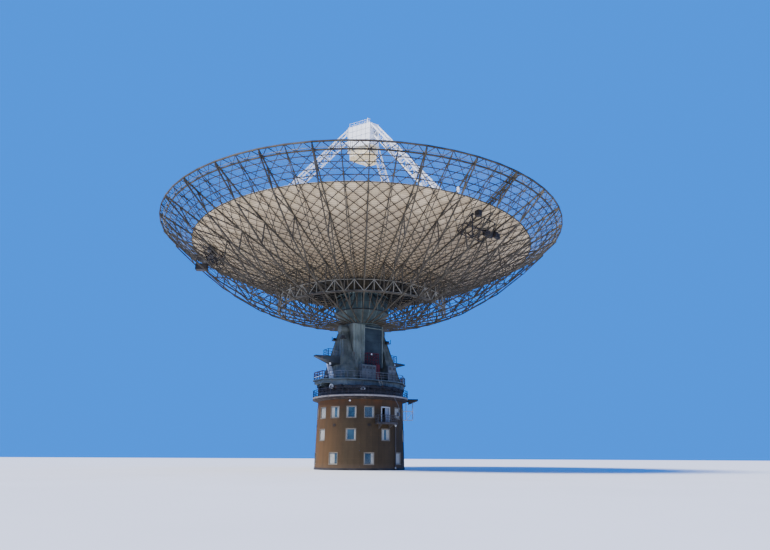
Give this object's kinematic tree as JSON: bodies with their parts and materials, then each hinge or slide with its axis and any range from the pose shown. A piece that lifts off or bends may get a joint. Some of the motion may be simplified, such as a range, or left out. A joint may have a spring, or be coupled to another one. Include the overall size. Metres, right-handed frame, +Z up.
{
  "type": "radio telescope dish on a turret and round tower, 1:2 scale model",
  "caption": "Steerable radio telescope: trussed dish with a tripod focus cabin, tipping and turning on a turret above a round concrete tower.",
  "frame": {"origin": "on the ground at the tower's axis, under the middle of the dish", "axes": "+Z up, +X along the tilting axle, -Y towards the side to which the dish tips"},
  "size_m": [31.95, 31.95, 30.2],
  "materials": {
    "tower_concrete": "rendered, weathered orange-brown",
    "floor_concrete": "bare concrete",
    "pale_concrete": "pale weathered concrete edge",
    "window_glass": "clear window glass",
    "cabinet_paint": "pale grey paint",
    "dark_steel": "dark, dusty steel",
    "rail_paint": "grey paint on tube and plate",
    "girder_paint": "blue-grey paint, weathered",
    "turret_paint": "green-grey paint, weathered",
    "stair_paint": "dark red paint",
    "panel_metal": "dull tan perforated sheet",
    "mesh_wire": "galvanised wire mesh, dull",
    "steelwork": "weathered grey-brown paint",
    "white_paint": "white paint",
    "cream_paint": "cream paint",
    "pale_paint": "pale grey paint"
  },
  "bodies": {
    "tower": {"tower_wall_1": "tower_concrete", "tower_wall_2": "tower_concrete", "tower_wall_3": "tower_concrete", "tower_wall_4": "tower_concrete", "tower_wall_5": "tower_concrete", "tower_wall_6": "tower_concrete", "tower_wall_7": "tower_concrete", "tower_wall_8": "tower_concrete", "ground_floor": "floor_concrete", "first_floor": "floor_concrete", "second_floor": "floor_concrete", "ground_floor_glass": "window_glass", "first_floor_glass": "window_glass", "second_floor_glass": "window_glass", "entrance_door": "cabinet_paint", "balcony_door": "cabinet_paint", "gallery_slab": "pale_concrete", "azimuth_track": "dark_steel", "gallery_railing": "rail_paint", "balcony": "rail_paint", "downpipe": "rail_paint", "gallery_landing": "dark_steel"},
    "turret": {"turret_base": "girder_paint", "bogie_front_left": "dark_steel", "bogie_front_right": "dark_steel", "bogie_back_left": "dark_steel", "bogie_back_right": "dark_steel", "turret_deck": "dark_steel", "deck_railing": "rail_paint", "side_frame_left": "turret_paint", "side_frame_right": "turret_paint", "wing_platform_left": "girder_paint", "wing_platform_right": "girder_paint", "cabinet_left": "cabinet_paint", "cabinet_right": "cabinet_paint", "stair_enclosure": "stair_paint"},
    "dish": {"tipping_column": "turret_paint", "counterweight": "dark_steel", "hub": "turret_paint", "reflector_centre": "panel_metal", "reflector_panels_1": "panel_metal", "reflector_panels_2": "panel_metal", "reflector_panels_3": "panel_metal", "reflector_mesh_1": "mesh_wire", "reflector_mesh_2": "mesh_wire", "reflector_mesh_3": "mesh_wire", "rib_sector_1": "steelwork", "rib_sector_2": "steelwork", "rib_sector_3": "steelwork", "rib_sector_4": "steelwork", "rib_sector_5": "steelwork", "rib_sector_6": "steelwork", "tripod_leg_front": "white_paint", "tripod_leg_right": "white_paint", "tripod_leg_left": "white_paint", "focus_cabin_upper": "white_paint", "focus_cabin_lower": "cream_paint", "feed_drum": "pale_paint", "roof_mast": "white_paint"}
  },
  "joints": [
    {"name": "azimuth_turn", "type": "hinge", "parent": "tower", "child": "turret", "pos_m": [0, 0, 5.45], "axis": [0, 0, 1], "range_deg": [-225, 225]},
    {"name": "dish_tilt", "type": "hinge", "parent": "turret", "child": "dish", "pos_m": [0, 0, 10.3], "axis": [1, 0, 0], "range_deg": [0, 60]}
  ]
}
